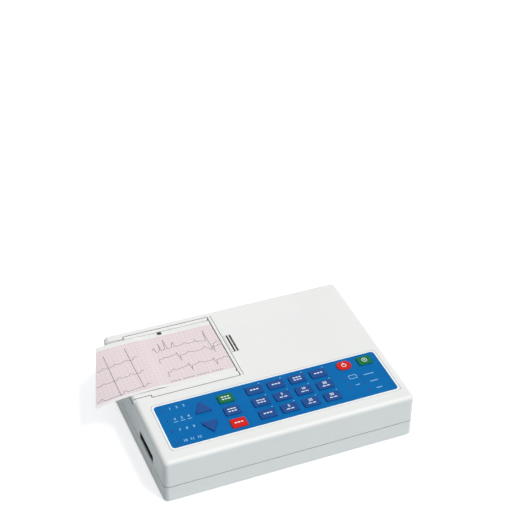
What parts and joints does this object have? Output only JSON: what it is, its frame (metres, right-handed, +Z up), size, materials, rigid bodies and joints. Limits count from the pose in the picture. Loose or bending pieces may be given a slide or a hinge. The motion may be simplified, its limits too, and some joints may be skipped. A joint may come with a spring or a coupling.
{
  "type": "ecg recorder",
  "caption": "Desk-top chart recorder in a wedge-shaped two-part case, with a keypad, a hinged paper lid over a platen printer and a socket in its left side.",
  "frame": {"origin": "middle of the case on the plane that its feet stand on", "axes": "+X to the right along the front, +Y to the back, +Z up"},
  "size_m": [0.3335, 0.223, 0.0687],
  "materials": {
    "housing_white": "fine matt moulded",
    "carrier_white": "satin",
    "foil_blue": "satin printed foil",
    "key_navy": "satin",
    "key_red": "satin",
    "key_green": "satin",
    "lamp_lens": "tinted lens",
    "rubber_black": "matt",
    "socket_black": "matt",
    "tray_grey": "matt",
    "board_green": "solder mask",
    "steel": "bright",
    "brass": "plain",
    "gear_white": "moulded",
    "head_alloy": "plain",
    "chart_paper": "printed grid"
  },
  "bodies": {
    "base": {"bottom_shell": "housing_white", "top_cover": "housing_white", "battery_door": "housing_white", "keypad_plate": "carrier_white", "keypad_overlay": "foil_blue", "indicator_leds": "lamp_lens", "rubber_feet": "rubber_black", "patient_socket": "socket_black", "mains_inlet": "socket_black", "battery_pack": "socket_black", "paper_tray": "tray_grey", "main_board": "board_green", "input_board": "board_green", "keypad_board": "board_green", "housing_screws": "steel", "hinge_pins": "steel", "head_spring": "steel", "switch_domes": "steel", "stepper_motor": "steel", "serial_socket": "steel", "mains_transformer": "steel", "patient_pins": "brass", "mains_pins": "brass", "earth_stud": "brass", "print_head": "head_alloy", "paper_pad": "chart_paper", "paper_strip": "chart_paper"},
    "lid": {"paper_lid": "housing_white", "platen_bushes": "brass"},
    "platen": {"platen_roller": "rubber_black", "platen_shaft": "steel", "platen_gear": "gear_white"},
    "rotor": {"motor_pinion": "gear_white", "motor_shaft": "steel"},
    "latch": {"lid_latch": "housing_white"},
    "key_up": {"key_up": "key_navy"},
    "key_down": {"key_down": "key_navy"},
    "key_start": {"key_start": "key_green"},
    "key_manual": {"key_manual": "key_navy"},
    "key_stop": {"key_stop": "key_red"},
    "key_1": {"key_1": "key_navy"},
    "key_2": {"key_2": "key_navy"},
    "key_3": {"key_3": "key_navy"},
    "key_4": {"key_4": "key_navy"},
    "key_5": {"key_5": "key_navy"},
    "key_6": {"key_6": "key_navy"},
    "key_7": {"key_7": "key_navy"},
    "key_8": {"key_8": "key_navy"},
    "key_9": {"key_9": "key_navy"},
    "key_10": {"key_10": "key_navy"},
    "key_11": {"key_11": "key_navy"},
    "key_12": {"key_12": "key_navy"},
    "key_off": {"key_off": "key_red"},
    "key_on": {"key_on": "key_green"}
  },
  "joints": [
    {"name": "lid_hinge", "type": "hinge", "parent": "base", "child": "lid", "pos_m": [-0.14275, 0.04437, 0.06118], "axis": [0, -0.9982, -0.0604], "range_deg": [0, 100], "deforming": ["paper_strip"]},
    {"name": "platen_spin", "type": "hinge", "parent": "lid", "child": "platen", "pos_m": [-0.03025, 0.04482, 0.05369], "axis": [0, 0.9982, 0.0604], "continuous": true},
    {"name": "motor_spin", "type": "hinge", "parent": "base", "child": "rotor", "pos_m": [-0.03025, -0.00713, 0.03973], "axis": [0, 0.9982, 0.0604], "continuous": true},
    {"name": "latch_slide", "type": "slide", "parent": "base", "child": "latch", "axis": [1, 0, 0], "range_m": [0, 0.0018], "stiffness_N_per_m": 300},
    {"name": "key_up_press", "type": "slide", "parent": "base", "child": "key_up", "axis": [0, 0.0604, -0.9982], "range_m": [0, 0.0008], "stiffness_N_per_m": 200},
    {"name": "key_down_press", "type": "slide", "parent": "base", "child": "key_down", "axis": [0, 0.0604, -0.9982], "range_m": [0, 0.0008], "stiffness_N_per_m": 200},
    {"name": "key_start_press", "type": "slide", "parent": "base", "child": "key_start", "axis": [0, 0.0604, -0.9982], "range_m": [0, 0.0008], "stiffness_N_per_m": 200},
    {"name": "key_manual_press", "type": "slide", "parent": "base", "child": "key_manual", "axis": [0, 0.0604, -0.9982], "range_m": [0, 0.0008], "stiffness_N_per_m": 200},
    {"name": "key_stop_press", "type": "slide", "parent": "base", "child": "key_stop", "axis": [0, 0.0604, -0.9982], "range_m": [0, 0.0008], "stiffness_N_per_m": 200},
    {"name": "key_1_press", "type": "slide", "parent": "base", "child": "key_1", "axis": [0, 0.0604, -0.9982], "range_m": [0, 0.0008], "stiffness_N_per_m": 200},
    {"name": "key_2_press", "type": "slide", "parent": "base", "child": "key_2", "axis": [0, 0.0604, -0.9982], "range_m": [0, 0.0008], "stiffness_N_per_m": 200},
    {"name": "key_3_press", "type": "slide", "parent": "base", "child": "key_3", "axis": [0, 0.0604, -0.9982], "range_m": [0, 0.0008], "stiffness_N_per_m": 200},
    {"name": "key_4_press", "type": "slide", "parent": "base", "child": "key_4", "axis": [0, 0.0604, -0.9982], "range_m": [0, 0.0008], "stiffness_N_per_m": 200},
    {"name": "key_5_press", "type": "slide", "parent": "base", "child": "key_5", "axis": [0, 0.0604, -0.9982], "range_m": [0, 0.0008], "stiffness_N_per_m": 200},
    {"name": "key_6_press", "type": "slide", "parent": "base", "child": "key_6", "axis": [0, 0.0604, -0.9982], "range_m": [0, 0.0008], "stiffness_N_per_m": 200},
    {"name": "key_7_press", "type": "slide", "parent": "base", "child": "key_7", "axis": [0, 0.0604, -0.9982], "range_m": [0, 0.0008], "stiffness_N_per_m": 200},
    {"name": "key_8_press", "type": "slide", "parent": "base", "child": "key_8", "axis": [0, 0.0604, -0.9982], "range_m": [0, 0.0008], "stiffness_N_per_m": 200},
    {"name": "key_9_press", "type": "slide", "parent": "base", "child": "key_9", "axis": [0, 0.0604, -0.9982], "range_m": [0, 0.0008], "stiffness_N_per_m": 200},
    {"name": "key_10_press", "type": "slide", "parent": "base", "child": "key_10", "axis": [0, 0.0604, -0.9982], "range_m": [0, 0.0008], "stiffness_N_per_m": 200},
    {"name": "key_11_press", "type": "slide", "parent": "base", "child": "key_11", "axis": [0, 0.0604, -0.9982], "range_m": [0, 0.0008], "stiffness_N_per_m": 200},
    {"name": "key_12_press", "type": "slide", "parent": "base", "child": "key_12", "axis": [0, 0.0604, -0.9982], "range_m": [0, 0.0008], "stiffness_N_per_m": 200},
    {"name": "key_off_press", "type": "slide", "parent": "base", "child": "key_off", "axis": [0, 0.0604, -0.9982], "range_m": [0, 0.0008], "stiffness_N_per_m": 200},
    {"name": "key_on_press", "type": "slide", "parent": "base", "child": "key_on", "axis": [0, 0.0604, -0.9982], "range_m": [0, 0.0008], "stiffness_N_per_m": 200}
  ],
  "couplings": [
    {"joint": "motor_spin", "follows": "platen_spin", "ratio": -1.25}
  ]
}
